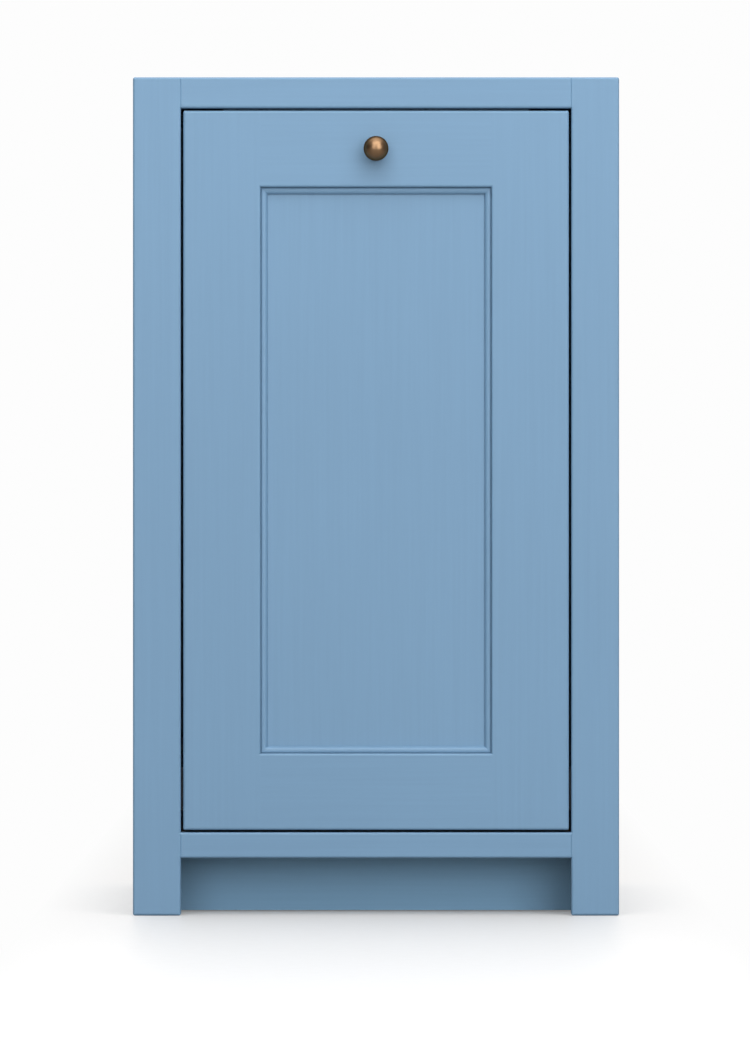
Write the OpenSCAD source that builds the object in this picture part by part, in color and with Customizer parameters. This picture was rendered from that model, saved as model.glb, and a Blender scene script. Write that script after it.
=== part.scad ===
// Base cabinet with an inset front that pulls out and carries two waste bins.
// Millimetres. X runs across the width, the front faces -Y and Z is up.
// The origin is on the floor, at the centre of the overall box with the knob counted in.

/* [Cabinet] */
// Overall width
body_w = 508; // [430:1:600]
// Overall height
body_h = 876; // [760:1:960]
// Depth from the front of the face frame to the back of the cabinet
body_d = 610; // [560:1:700]
// Rounding of every visible front edge
arris_r = 2.5; // [1:0.5:3]

/* [Face frame] */
// Thickness of the face frame
frame_t = 19; // [17:0.5:22]
// Width of a frame stile
stile_w = 50; // [42:0.5:60]
// Height of the top rail
top_rail_h = 32.5; // [28:0.5:60]
// Height of the bottom rail
bottom_rail_h = 27; // [24:1:60]
// Clear height under the bottom rail
toe_h = 60; // [50:1:90]
// Thickness of the rail tenons
tenon_t = 8; // [6:0.5:9]
// Length of the rail tenons
tenon_len = 25; // [15:1:32]
// Height that a tenon loses at each edge of its rail
tenon_shoulder = 6; // [4:0.5:8]
// Depth of the fine V along each joint of the face frame
joint_v = 0.5; // [0.3:0.1:0.8]

/* [Carcass] */
// Thickness of the side panels
side_t = 18; // [16:0.5:20]
// Thickness of the cabinet floor
deck_t = 18; // [16:0.5:20]
// Thickness of the back panel
back_t = 6; // [4:0.5:8]
// Thickness of the dust panel between the top stretchers
dust_t = 6; // [4:0.5:8]
// Width of the rabbets that hold the back and dust panels
rabbet_w = 9; // [6:0.5:12]
// Depth of the dadoes in the side panels
dado_d = 6; // [4:0.5:8]
// Thickness of the top stretchers
stretcher_t = 18; // [14:0.5:20]
// Width of the top stretchers
stretcher_w = 90; // [70:1:120]
// Thickness of the anchor rail
anchor_t = 18; // [14:0.5:20]
// Height of the anchor rail
anchor_h = 90; // [60:1:120]
// Diameter of the wall screw holes
wall_hole_d = 7; // [5:0.5:9]
// Distance between the wall screw holes
wall_hole_pitch = 240; // [200:1:320]
// Diameter of the worktop screw holes
top_hole_d = 5; // [4:0.5:7]
// Distance across the width between the worktop screw holes
top_hole_pitch = 300; // [200:1:340]
// Set-back of the toe kick board from the front
kick_depth = 76; // [60:1:90]
// Thickness of the toe kick board
kick_t = 15; // [12:0.5:18]
// Gap between the toe kick board and the floor
kick_gap = 1.5; // [1:0.5:3]
// Side of a glue block behind the toe kick board
block_w = 30; // [20:1:40]
// Length of a glue block under the cabinet floor
block_len = 120; // [60:5:180]

/* [Inset front] */
// Gap all round the inset front
front_gap = 2.5; // [1.5:0.5:3]
// Thickness of the front's stiles and rails
front_t = 20; // [19:0.5:22]
// Width of the front's stiles
front_stile_w = 81; // [60:1:95]
// Height of the front's rails
front_rail_h = 80; // [60:1:95]
// Thickness of the centre panel
panel_t = 6; // [4:0.5:7]
// How far the centre panel lies behind the front
panel_recess = 9.2; // [8:0.1:9.2]
// Depth of the groove that holds the centre panel
groove_d = 10; // [8:0.5:14]
// Room for the centre panel to swell in its groove
groove_play = 1; // [0.5:0.5:2]
// How far the bead's crest stays behind the front
bead_drop = 4.7; // [4.7:0.1:5.5]
// Radius of the bead's round
bead_r = 4.6; // [4.6:0.1:6]
// Distance of the bead's crest from its outer edge
bead_crest = 2.5; // [2.3:0.1:4]
// Width of the quirk between the frame and the bead's round
quirk_w = 0.6; // [0.6:0.1:1.2]
// Thickness that the bead moulding keeps under its quirk
quirk_floor = 1.7; // [1:0.1:2]

/* [Knob] */
// Diameter of the ball
knob_d = 26; // [20:0.5:32]
// Reach of the knob from the front
knob_reach = 31; // [26:0.5:40]
// Diameter of the knob's base
knob_base_d = 17; // [14:0.5:22]
// Thickness of the knob's base
knob_base_t = 2.5; // [1.5:0.5:4]
// Diameter of the knob's neck
knob_neck_d = 10; // [8:0.5:12]
// Height of the knob's centre below the top of the inset front
knob_drop = 40.5; // [34:0.5:46]

/* [Tray] */
// Thickness of the tray's boards
tray_t = 15; // [12:0.5:18]
// Height of the tray's boards
tray_h = 110; // [90:1:140]
// Height of the tray above the cabinet floor
tray_lift = 7; // [4:0.5:12]
// Thickness of the tray's bottom
tray_bottom_t = 9; // [6:0.5:12]
// Height of the tray's bottom above its lower edge
tray_bottom_up = 12; // [10:0.5:18]
// Depth of the groove that holds the tray's bottom
tray_groove = 6; // [4:0.5:8]
// Number of dovetail tails on each corner
tail_count = 3; // [2:1:4]
// Width of a dovetail pin at its narrow side
pin_w = 10; // [7:0.5:14]
// Run of a dovetail's slope for one unit of spread
tail_slope = 6; // [5:0.5:8]
// Thickness of the divider between the bins
divider_t = 12; // [9:0.5:15]
// Height of the divider above the tray's bottom
divider_h = 60; // [40:1:80]

/* [Slides] */
// Thickness of a closed slide
slide_t = 12.7; // [12.5:0.1:13.2]
// Height of a slide
slide_h = 45.4; // [44:0.2:48]
// Length step in which slides are made
slide_step = 50; // [50:50:100]
// Distance of the slides behind the inset front's back
slide_set = 2; // [1:0.5:4]
// Height of the slides' centre line above the tray's lower edge
slide_up = 38; // [34:0.5:50]
// Thickness of the slides' steel
sheet_t = 1.2; // [1:0.1:1.4]
// Diameter of the balls
ball_d = 3.2; // [3:0.1:3.4]
// Running clearance of a ball in its races
ball_play = 0.1; // [0.05:0.01:0.15]
// Distance from the cabinet side of a slide to the centre of its outer balls
race_u = 3.5; // [3.4:0.1:3.8]
// Distance between the outer and the inner balls along the slide's thickness
race_step = 3; // [2.8:0.1:3.2]
// Half of the slot between the two halves of a race
race_slot = 0.6; // [0.6:0.05:0.8]
// Thickness of a ball retainer
retainer_t = 0.8; // [0.6:0.1:0.9]
// Balls in each row
ball_count = 8; // [4:1:12]
// Gap between the outer and the middle slide members
member_gap = 0.4; // [0.3:0.05:0.5]
// Length that the middle member is shorter than the slide
mid_short = 15; // [10:1:25]
// Diameter of the access holes in the middle member
access_d = 9; // [7:0.5:10]
// Height of a packer above the slide that it carries
packer_margin = 12; // [9:0.5:16]

/* [Door stop] */
// Height of the stop strip
stop_h = 32; // [26:1:40]
// Thickness of the stop strip
stop_t = 16; // [12:0.5:20]
// Length of the stop strip
stop_len = 320; // [200:1:330]
// Diameter of a bumper pad
pad_d = 12; // [8:0.5:14]
// Thickness of a bumper pad
pad_t = 2; // [1.5:0.5:3]
// Gap between a bumper pad and the closed front
pad_gap = 0.3; // [0.2:0.1:0.5]

/* [Braces] */
// Thickness of a brace's steel
brace_t = 2; // [1.5:0.5:3]
// Height of a brace above the tray
brace_h = 320; // [200:1:380]
// Length of a brace along the tray
brace_run = 120; // [90:1:160]
// Width of a brace's flange on the inset front
brace_flange = 25; // [20:1:30]
// Overlap of a brace on the tray's side
brace_lap = 40; // [34:1:42]

/* [Bins] */
// Height of a bin
bin_h = 457; // [380:1:480]
// Wall thickness of a bin
bin_wall = 2.5; // [2:0.1:3.2]
// Draw-in of a bin's walls from the rim to the base, each side
bin_taper = 16; // [8:1:20]
// Corner radius of a bin at its rim
bin_corner_r = 42; // [40:1:60]
// Rounding between a bin's walls and its base
bin_base_r = 8; // [5:0.5:10]
// Step that draws a bin in below its collar
bin_step = 2; // [1:0.5:3]
// Height of the collar below the rim
collar_h = 46; // [30:1:80]
// Width of the rolled rim
rim_w = 9; // [6:0.5:14]
// Height of the rolled rim
rim_h = 14; // [10:0.5:20]
// Rounding of the rim's upper edge
rim_r = 4; // [3.5:0.5:6]
// Height of the raised middle of a bin's base
bin_kick = 3; // [2:0.5:5]
// Width of the foot round the raised middle
bin_foot_w = 6; // [4:0.5:8]
// Clearance between a bin's rim and the outside of the tray's side
bin_side_inset = 5.5; // [4:0.5:12]
// Clearance between a bin's rim and the tray's front or back board
bin_end_gap = 10; // [8:0.5:16]
// Clearance between the rims of the two bins
bin_mid_gap = 8; // [6:0.5:14]

/* [Screws] */
// Diameter of the slide and brace screws
small_screw_d = 3.6; // [3:0.1:4]
// Length of the slide and brace screws
small_screw_len = 12; // [10:0.5:12]
// Diameter of the packer and front screws
large_screw_d = 4.5; // [4:0.1:5]
// Length of the packer screws
packer_screw_len = 44; // [38:1:46]
// Length that the front screws reach into the inset front
front_screw_bite = 13; // [10:0.5:15]
// Diameter of the knob screw
knob_screw_d = 4; // [3:0.5:5]
// Length of the knob screw inside the knob
knob_screw_bite = 9; // [6:0.5:11]
// Distance of the end screws from the ends of what they hold
screw_inset = 35; // [25:1:45]

/* [Hidden] */

$fn = 48;
cut = 1;        // how far a cutter runs past the face that it opens
screw_fit = 0.05; // radial room round a screw
rim_fn = 32;    // facets of a full turn of a bin's corners
round_step = 30; // angle between the rings of a bin's rounded edges
skin = 0.05;    // height of a slice that a hull joins to the next
left = -1;
right = 1;

paint = [0.50, 0.635, 0.75];
plywood = [0.86, 0.76, 0.60];
hardwood = [0.80, 0.66, 0.48];
zinc = [0.74, 0.75, 0.77];
spring_steel = [0.60, 0.61, 0.63];
bronze = [0.38, 0.29, 0.21];
rubber = [0.16, 0.16, 0.17];
bin_plastic = [0.80, 0.81, 0.82];

// Where the front face lies, so that the box with the knob is centred on the origin
face_y = (knob_reach - body_d) / 2;

// Opening of the face frame
open_w = body_w - 2 * stile_w;
open_z0 = toe_h + bottom_rail_h;
open_z1 = body_h - top_rail_h;
open_h = open_z1 - open_z0;
back_d = body_d - back_t;
side_x = body_w / 2 - side_t;

// Inset front and its panel opening
front_w = open_w - 2 * front_gap;
front_h = open_h - 2 * front_gap;
front_z0 = open_z0 + front_gap;
front_z1 = front_z0 + front_h;
panel_open_w = front_w - 2 * front_stile_w;
panel_open_h = front_h - 2 * front_rail_h;
panel_z0 = front_z0 + front_rail_h;
panel_z1 = panel_z0 + panel_open_h;
bead_h = panel_recess - bead_drop;
bead_w = bead_crest + sqrt(bead_h * (2 * bead_r - bead_h));
knob_z = front_z1 - knob_drop;

// Slides
slide_front = front_t + slide_set;
rear_room = 8;
slide_len = slide_step * floor((back_d - slide_front - rear_room) / slide_step);
middle_len = slide_len - mid_short;
travel = slide_len;
race_in = ball_d / 2 + ball_play;
race_out = race_in + sheet_t;
race_mid = race_in + sheet_t / 2;
outer_v = slide_h / 2 - race_out;
inner_u = race_u + race_step;
inner_v = outer_v - sqrt(pow(2 * race_mid, 2) - pow(race_step, 2));
middle_u = sheet_t + member_gap;
inner_leg_v = inner_v - race_out;
retainer_end = 2;
retainer_front = slide_front + travel / 4 + retainer_end;
retainer_len = middle_len - travel / 2 - 2 * retainer_end;
ball_end = 12;

// Tray, hung between the slides
tray_w = open_w - 2 * slide_t;
tray_len = slide_set + slide_len;
tray_z0 = open_z0 + tray_lift;
tray_z1 = tray_z0 + tray_h;
tray_in_w = tray_w - 2 * tray_t;
tray_front_d = front_t + tray_t;
tray_back_d = front_t + tray_len - tray_t;
bottom_z0 = tray_z0 + tray_bottom_up;
bottom_z1 = bottom_z0 + tray_bottom_t;
slide_z = tray_z0 + slide_up;
divider_d = (tray_front_d + tray_back_d) / 2;
tail_pitch = tray_h / tail_count;
tail_wide = tail_pitch - pin_w;
tail_narrow = tail_wide - 2 * tray_t / tail_slope;

// Packers between the side panels and the slides
packer_z1 = slide_z + slide_h / 2 + packer_margin;

// Bins
bin_w = tray_w - 2 * bin_side_inset;
bin_d = (tray_back_d - tray_front_d - 2 * bin_end_gap - bin_mid_gap) / 2;
bin_front_d = tray_front_d + bin_end_gap + bin_d / 2;
bin_rear_d = tray_back_d - bin_end_gap - bin_d / 2;

// Screws
pan_d = 2;      // head diameter for one unit of a pan head screw's shank
pan_h = 0.6;    // head height for one unit of shank
pan_dome = 0.6; // share of a pan head's height that is domed
flat_d = 1.9;   // head diameter for one unit of a flat head screw's shank
flat_h = 0.5;   // head height for one unit of shank
slot_share = 0.2; // width of a cross recess for one unit of shank
slot_depth = 0.6; // depth of a cross recess as a share of the head's height
slide_screw_gap = (slide_len - 2 * screw_inset) / 3;
slide_screw_ds = [for (i = [0:3]) slide_front + screw_inset + i * slide_screw_gap];
packer_screw_ds = [frame_t + 2 * screw_inset, back_d - 2 * screw_inset];
packer_screw_zs = [
    (open_z0 + slide_z - slide_h / 2) / 2,
    packer_z1 - packer_margin / 2
];
front_screw_zs = [tray_z0 + screw_inset, tray_z1 - screw_inset];
front_screw_x = panel_open_w / 2 + front_stile_w / 2;
brace_x = tray_w / 2 + brace_t;
brace_screw_x = brace_x - brace_flange / 2;
brace_screw_zs = [for (i = [0:2]) tray_z1 + screw_inset + i * (brace_h - 2 * screw_inset) / 2];
brace_tray_z = tray_z1 - brace_lap / 2;
brace_tray_ds = [front_t + screw_inset, front_t + brace_run - brace_lap / 2];

// Y of a point at a depth behind the front face
function at(d) = face_y + d;

// Box between two limits each across, in depth behind the front face, and in height
module board(x, d, z) {
    translate([x[0], at(d[0]), z[0]]) cube([x[1] - x[0], d[1] - d[0], z[1] - z[0]]);
}

// Board whose width lies between two distances from the middle, on one side of it
module side_board(side, x, d, z) {
    board(side == left ? [-x[1], -x[0]] : x, d, z);
}

// Turns a profile in depth and height, drawn as X and Y, into a solid along X
module along_x(x0, x1) {
    translate([x0, at(0), 0]) rotate([90, 0, 90]) linear_extrude(height = x1 - x0) children();
}

// Turns a profile across and in depth, drawn as X and Y, into a solid along Z
module along_z(z0, z1) {
    translate([0, at(0), z0]) linear_extrude(height = z1 - z0) children();
}

// Turns an outline across and in height, drawn as X and Y, into a solid between two depths
module along_depth(d0, d1) {
    translate([0, at(d1), 0]) rotate([90, 0, 0]) linear_extrude(height = d1 - d0) children();
}

// What a rounding takes off a corner at the origin whose solid lies towards +X and +Y
module rounding(r) {
    difference() {
        translate([-cut, -cut]) square(r + cut);
        translate([r, r]) circle(r);
    }
}

// Profile of a board's thickness with both front corners rounded, its front at Y 0
module eased_profile(w, t, r) {
    difference() {
        translate([-w / 2, 0]) square([w, t]);
        for (s = [0, 1]) {
            mirror([s, 0]) translate([-w / 2, 0]) rounding(r);
        }
    }
}

// Outline of a board's face between two heights with all four corners rounded
module eased_outline(w, z0, z1, r) {
    difference() {
        translate([-w / 2, z0]) square([w, z1 - z0]);
        for (s = [0, 1]) {
            mirror([s, 0]) translate([-w / 2, z0]) rounding(r);
            mirror([s, 0]) translate([-w / 2, z1]) mirror([0, 1]) rounding(r);
        }
    }
}

// The same for an opening: a straight passage whose mouth flares out at the front
module flared_profile(w, t, r) {
    difference() {
        union() {
            translate([-w / 2, 0]) square([w, t]);
            translate([-w / 2 - r, -cut]) square([w + 2 * r, r + cut]);
        }
        for (s = [-1, 1]) {
            translate([s * (w / 2 + r), r]) circle(r);
        }
    }
}

// Panel blank with its four corners and its four front edges rounded
module eased_block(w, t, z0, z1) {
    intersection() {
        along_z(z0, z1) eased_profile(w, t, arris_r);
        along_x(-w, w) translate([0, (z0 + z1) / 2]) mirror([1, -1]) eased_profile(z1 - z0, t, arris_r);
        along_depth(0, t) eased_outline(w, z0, z1, arris_r);
    }
}

// Cutter of an opening with the same rounding on its four front edges
module flared_window(w, t, z0, z1) {
    intersection() {
        along_z(z0 - w, z1 + w) flared_profile(w, t, arris_r);
        along_x(-w, w) translate([0, (z0 + z1) / 2]) mirror([1, -1]) flared_profile(z1 - z0, t, arris_r);
    }
}

// Domed head standing on its face from Z 0 down
module pan_head(d) {
    r = d * pan_d / 2;
    h = d * pan_h;
    rise = h * pan_dome;
    dome_r = (r * r + rise * rise) / (2 * rise);
    intersection() {
        translate([0, 0, -h]) cylinder(h = h, r = r);
        translate([0, 0, dome_r - h]) sphere(r = dome_r);
    }
}

// Screw pointing along +Z from the face that its head lies on or is sunk into
module screw(d, len, sunk = false) {
    head_h = d * (sunk ? flat_h : pan_h);
    top = sunk ? 0 : -head_h;
    tip = d;
    difference() {
        union() {
            if (sunk) {
                cylinder(h = head_h, r1 = d * flat_d / 2, r2 = d / 2);
            } else {
                pan_head(d);
            }
            cylinder(h = len - tip, r = d / 2);
            translate([0, 0, len - tip]) cylinder(h = tip, r1 = d / 2, r2 = d / 8);
        }
        for (turn = [0, 90]) {
            rotate([0, 0, turn]) translate([-d / 2, -d * slot_share / 2, top - cut])
                cube([d, d * slot_share, head_h * slot_depth + cut]);
        }
    }
}

// Hole for the same screw, a little wider than its shank and head
module screw_hole(d, len, sunk = false) {
    fit = screw_fit;
    head_h = d * flat_h;
    translate([0, 0, -cut]) cylinder(h = len + 2 * cut, r = d / 2 + fit);
    if (sunk) {
        translate([0, 0, -fit]) cylinder(h = head_h + 2 * fit, r1 = d * flat_d / 2 + fit, r2 = d / 2 + fit);
    }
}

// Places screws at a distance from the middle, pointing outwards or inwards
module on_side(side, x, ds, zs, outwards) {
    for (d = ds) {
        for (z = zs) {
            translate([side * x, at(d), z]) rotate([0, (outwards ? 1 : -1) * side * 90, 0]) children();
        }
    }
}

// Places screws that point to the front from a depth behind it
module to_front(xs, d, zs) {
    for (x = xs) {
        for (z = zs) {
            translate([x, at(d), z]) rotate([90, 0, 0]) children();
        }
    }
}

// Places both sides' screws of one kind
module both_sides() {
    for (side = [left, right]) {
        $side = side;
        children();
    }
}

module place_packer_screws(side) {
    on_side(side, open_w / 2, packer_screw_ds, packer_screw_zs, true) children();
}

module place_slide_cabinet_screws(side) {
    on_side(side, open_w / 2 - sheet_t, slide_screw_ds, [slide_z], true) children();
}

module place_slide_tray_screws(side) {
    on_side(side, tray_w / 2 + sheet_t, slide_screw_ds, [slide_z], false) children();
}

module place_brace_tray_screws(side) {
    on_side(side, brace_x, brace_tray_ds, [brace_tray_z], false) children();
}

module place_brace_front_screws() {
    to_front([-brace_screw_x, brace_screw_x], front_t + brace_t, brace_screw_zs) children();
}

module place_tray_front_screws() {
    to_front([-front_screw_x, front_screw_x], tray_front_d, front_screw_zs) children();
}

// Face frame

module frame_blank() {
    eased_block(body_w, frame_t, 0, body_h);
}

// Openings for the inset front and for the toes, with the inner foot corners rounded
module frame_openings() {
    flared_window(open_w, frame_t + cut, open_z0, open_z1);
    flared_window(open_w, frame_t + cut, -toe_h, toe_h);
    for (s = [0, 1]) {
        mirror([s, 0, 0]) along_depth(-cut, frame_t + cut) translate([open_w / 2, 0]) rounding(arris_r);
    }
}

module frame_joint_grooves() {
    for (x = [-open_w / 2, open_w / 2]) {
        translate([x, at(0), 0]) rotate([0, 0, 45])
            translate([-joint_v / sqrt(2), -joint_v / sqrt(2), toe_h])
                cube([joint_v * sqrt(2), joint_v * sqrt(2), body_h]);
    }
}

// Tenon that joins a rail between two heights to one stile, grown by extra at its end
module tenon(side, z0, z1, extra) {
    middle = frame_t / 2;
    side_board(side, [open_w / 2 - cut, open_w / 2 + tenon_len + extra],
        [middle - tenon_t / 2, middle + tenon_t / 2], [z0 + tenon_shoulder, z1 - tenon_shoulder]);
}

module frame_stile(side) {
    color(paint) difference() {
        intersection() {
            frame_blank();
            side_board(side, [open_w / 2, body_w / 2], [0, frame_t], [0, body_h]);
        }
        frame_openings();
        frame_joint_grooves();
        tenon(side, open_z1, body_h, cut);
        tenon(side, toe_h, open_z0, cut);
    }
}

module frame_rail(z0, z1) {
    color(paint) union() {
        difference() {
            intersection() {
                frame_blank();
                board([-open_w / 2, open_w / 2], [0, frame_t], [z0, z1]);
            }
            frame_openings();
            frame_joint_grooves();
        }
        for (side = [left, right]) {
            tenon(side, z0, z1, 0);
        }
    }
}

module frame_top_rail() {
    frame_rail(open_z1, body_h);
}

module frame_bottom_rail() {
    frame_rail(toe_h, open_z0);
}

// Carcass

module cabinet_floor() {
    reach = side_x + dado_d;
    color(plywood) board([-reach, reach], [frame_t, back_d], [open_z0 - deck_t, open_z0]);
}

// Top stretcher between two depths, rabbeted for the dust panel
module stretcher(d0, d1) {
    reach = side_x + dado_d;
    color(plywood) difference() {
        board([-reach, reach], [d0, d1], [body_h - stretcher_t, body_h]);
        dust_space(reach + cut, body_h + cut);
        for (s = [-1, 1]) {
            translate([s * top_hole_pitch / 2, at((d0 + d1) / 2), body_h - stretcher_t - cut])
                cylinder(h = stretcher_t + 2 * cut, d = top_hole_d);
        }
    }
}

module stretcher_front() {
    stretcher(frame_t, frame_t + stretcher_w);
}

module stretcher_back() {
    stretcher(back_d - stretcher_w, back_d);
}

// Space of the dust panel, which lies flush with the top in rabbets of the stretchers and sides
module dust_space(reach, z1) {
    board([-reach, reach], [frame_t + stretcher_w - rabbet_w, back_d - stretcher_w + rabbet_w],
        [body_h - dust_t, z1]);
}

module dust_panel() {
    color(plywood) dust_space(side_x + dado_d, body_h);
}

// Dadoes and rabbets that a side panel has for the floor, the stretchers, the dust panel and the back panel
module side_housings(side) {
    dado = [side_x - cut, side_x + dado_d];
    side_board(side, dado, [frame_t - cut, back_d + cut], [open_z0 - deck_t, open_z0]);
    side_board(side, dado, [frame_t - cut, frame_t + stretcher_w], [body_h - stretcher_t, body_h + cut]);
    side_board(side, dado, [back_d - stretcher_w, back_d + cut], [body_h - stretcher_t, body_h + cut]);
    side_board(side, [side_x - cut, side_x + rabbet_w], [back_d, body_d + cut], [-cut, body_h + cut]);
    dust_space(side_x + dado_d, body_h + cut);
}

module side_panel(side) {
    color(paint) difference() {
        side_board(side, [side_x, body_w / 2], [frame_t, body_d], [0, body_h]);
        side_housings(side);
        place_packer_screws(side) screw_hole(large_screw_d, packer_screw_len, true);
    }
}

// Holes for the screws that fix the cabinet to a wall
module wall_holes() {
    for (s = [-1, 1]) {
        translate([s * wall_hole_pitch / 2, at(body_d + cut), body_h - stretcher_t - anchor_h / 2])
            rotate([90, 0, 0]) cylinder(h = back_t + anchor_t + 2 * cut, d = wall_hole_d);
    }
}

module back_panel() {
    reach = side_x + rabbet_w;
    color(plywood) difference() {
        board([-reach, reach], [back_d, body_d], [0, body_h]);
        wall_holes();
    }
}

module anchor_rail() {
    z1 = body_h - stretcher_t;
    color(hardwood) difference() {
        board([-side_x, side_x], [back_d - anchor_t, back_d], [z1 - anchor_h, z1]);
        wall_holes();
    }
}

module toe_kick() {
    color(paint) board([-side_x, side_x], [kick_depth, kick_depth + kick_t], [kick_gap, open_z0 - deck_t]);
}

// Three-cornered block glued upright into a corner behind the toe kick board
module corner_block(side) {
    along_z(kick_gap, open_z0 - deck_t) polygon([
        [side * side_x, kick_depth + kick_t],
        [side * (side_x - block_w), kick_depth + kick_t],
        [side * side_x, kick_depth + kick_t + block_w]
    ]);
}

// The same laid under the floor
module floor_block(x0, x1) {
    top = open_z0 - deck_t;
    along_x(x0, x1) polygon([
        [kick_depth + kick_t, top],
        [kick_depth + kick_t, top - block_w],
        [kick_depth + kick_t + block_w, top]
    ]);
}

module toe_kick_blocks() {
    color(hardwood) {
        for (side = [left, right]) {
            corner_block(side);
            floor_block(side * side_x / 2 - block_len / 2, side * side_x / 2 + block_len / 2);
        }
    }
}

module door_stop() {
    stop_d = front_t + pad_gap + pad_t;
    z1 = body_h - stretcher_t;
    color(hardwood) board([-stop_len / 2, stop_len / 2], [stop_d, stop_d + stop_t], [z1 - stop_h, z1]);
}

module bumper_pads() {
    pad_z = body_h - stretcher_t - stop_h + pad_d / 2 + cut;
    color(rubber) for (s = [-1, 1]) {
        translate([s * (stop_len / 2 - 1.5 * pad_d), at(front_t + pad_gap + pad_t), pad_z])
            rotate([90, 0, 0]) cylinder(h = pad_t, d = pad_d);
    }
}

module slide_packer(side) {
    color(hardwood) difference() {
        side_board(side, [open_w / 2, side_x], [frame_t, back_d], [open_z0, packer_z1]);
        place_packer_screws(side) screw_hole(large_screw_d, packer_screw_len, true);
        place_slide_cabinet_screws(side) screw_hole(small_screw_d, small_screw_len, true);
    }
}

module packer_screws() {
    color(zinc) both_sides() place_packer_screws($side) screw(large_screw_d, packer_screw_len, true);
}

// Ball-bearing slides. A section is drawn with X from the cabinet to the tray and Y up
// from the centre line, and one member's section lies between its neighbours' races.

// Half of the ring round a ball centre: away from the centre line or towards it
module race(u, v, outward) {
    intersection() {
        translate([u, v]) difference() {
            circle(race_out);
            circle(race_in);
        }
        translate([u - race_out - cut, outward ? v + race_slot : v - race_out - cut])
            square([2 * (race_out + cut), race_out + cut - race_slot]);
    }
}

module outer_section() {
    for (s = [0, 1]) {
        mirror([0, s]) {
            translate([0, -cut]) square([sheet_t, slide_h / 2 + cut]);
            translate([0, slide_h / 2 - sheet_t]) square([race_u, sheet_t]);
            race(race_u, outer_v, true);
        }
    }
}

module middle_section() {
    for (s = [0, 1]) {
        mirror([0, s]) {
            translate([middle_u, -cut]) square([sheet_t, outer_v - race_mid + cut]);
            intersection() {
                race(race_u, outer_v, false);
                translate([middle_u, 0]) square(slide_h);
            }
            race(inner_u, inner_v, true);
        }
    }
}

module inner_section() {
    for (s = [0, 1]) {
        mirror([0, s]) {
            translate([slide_t - sheet_t, -cut]) square([sheet_t, inner_leg_v + sheet_t + cut]);
            translate([inner_u, inner_leg_v]) square([slide_t - inner_u, sheet_t]);
            race(inner_u, inner_v, false);
        }
    }
}

// Lays a slide section along its depth on one side, from a start over a length
module slide_bar(side, d0, len) {
    translate([side * open_w / 2, at(d0 + len), slide_z]) rotate([90, 0, 0])
        linear_extrude(height = len) mirror([side == right ? 1 : 0, 0]) children();
}

module slide_outer(side) {
    color(zinc) difference() {
        slide_bar(side, slide_front, slide_len) outer_section();
        place_slide_cabinet_screws(side) screw_hole(small_screw_d, small_screw_len, true);
    }
}

module slide_middle(side) {
    color(zinc) difference() {
        slide_bar(side, slide_front, middle_len) middle_section();
        on_side(side, open_w / 2 - middle_u - 2 * sheet_t, slide_screw_ds, [slide_z], true)
            cylinder(h = 3 * sheet_t, d = access_d);
    }
}

module slide_inner(side) {
    color(zinc) difference() {
        slide_bar(side, slide_front, slide_len) inner_section();
        place_slide_tray_screws(side) screw_hole(small_screw_d, small_screw_len);
    }
}

module slide_cabinet_screws() {
    color(zinc) both_sides() place_slide_cabinet_screws($side) screw(small_screw_d, small_screw_len, true);
}

module slide_tray_screws() {
    color(zinc) both_sides() place_slide_tray_screws($side) screw(small_screw_d, small_screw_len);
}

// Rubber block at the rear of an outer member, which the middle member stops against
module slide_buffer(side) {
    d0 = slide_front + middle_len + pad_gap;
    half = inner_leg_v - member_gap;
    slide_bar(side, d0, slide_front + slide_len - d0) translate([sheet_t, -half])
        square([middle_u, 2 * half]);
}

module slide_buffers() {
    color(rubber) both_sides() slide_buffer($side);
}

// Rows of ball centres of one race, on both sides, above and below the centre line
module ball_rows(u, v) {
    step = (retainer_len - 2 * ball_end) / (ball_count - 1);
    for (side = [left, right]) {
        for (row = [-1, 1]) {
            for (i = [0:ball_count - 1]) {
                translate([side * (open_w / 2 - u), at(retainer_front + ball_end + i * step), slide_z + row * v])
                    children();
            }
        }
    }
}

// Retainer strips of one race, each with a pocket for every ball
module retainers(u, v, u0, u1) {
    difference() {
        for (side = [left, right]) {
            slide_bar(side, retainer_front, retainer_len) {
                for (row = [-1, 1]) {
                    translate([u0, row * v - retainer_t / 2]) square([u1 - u0, retainer_t]);
                }
            }
        }
        ball_rows(u, v) sphere(r = race_in, $fn = 24);
    }
}

module ball_retainers_outer() {
    color(spring_steel) retainers(race_u, outer_v, sheet_t + member_gap / 2, race_u + race_mid + member_gap);
}

module ball_retainers_inner() {
    color(spring_steel) retainers(inner_u, inner_v, inner_u - race_mid - member_gap / 2,
        inner_u + race_mid + member_gap / 2);
}

module balls_outer() {
    color(zinc) ball_rows(race_u, outer_v) sphere(d = ball_d, $fn = 24);
}

module balls_inner() {
    color(zinc) ball_rows(inner_u, inner_v) sphere(d = ball_d, $fn = 24);
}

// Inset front

module front_blank() {
    eased_block(front_w, front_t, front_z0, front_z1);
}

module front_window() {
    flared_window(panel_open_w, front_t + cut, panel_z0, panel_z1);
}

// Space of the centre panel with its grooves
module panel_groove() {
    board([-panel_open_w / 2 - groove_d, panel_open_w / 2 + groove_d],
        [panel_recess, panel_recess + panel_t], [panel_z0 - groove_d, panel_z1 + groove_d]);
}

// Stub tenon of a front rail, as thick as the groove that it sits in
module stub_tenon(side, z0, z1) {
    side_board(side, [panel_open_w / 2 - cut, panel_open_w / 2 + groove_d],
        [panel_recess, panel_recess + panel_t], [z0, z1]);
}

module front_tenons(side) {
    stub_tenon(side, panel_z1 + groove_d, front_z1 - front_rail_h / 4);
    stub_tenon(side, front_z0 + front_rail_h / 4, panel_z0 - groove_d);
}

module front_screw_holes() {
    place_tray_front_screws() screw_hole(large_screw_d, tray_t + front_screw_bite);
    place_brace_front_screws() screw_hole(small_screw_d, small_screw_len);
}

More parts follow.
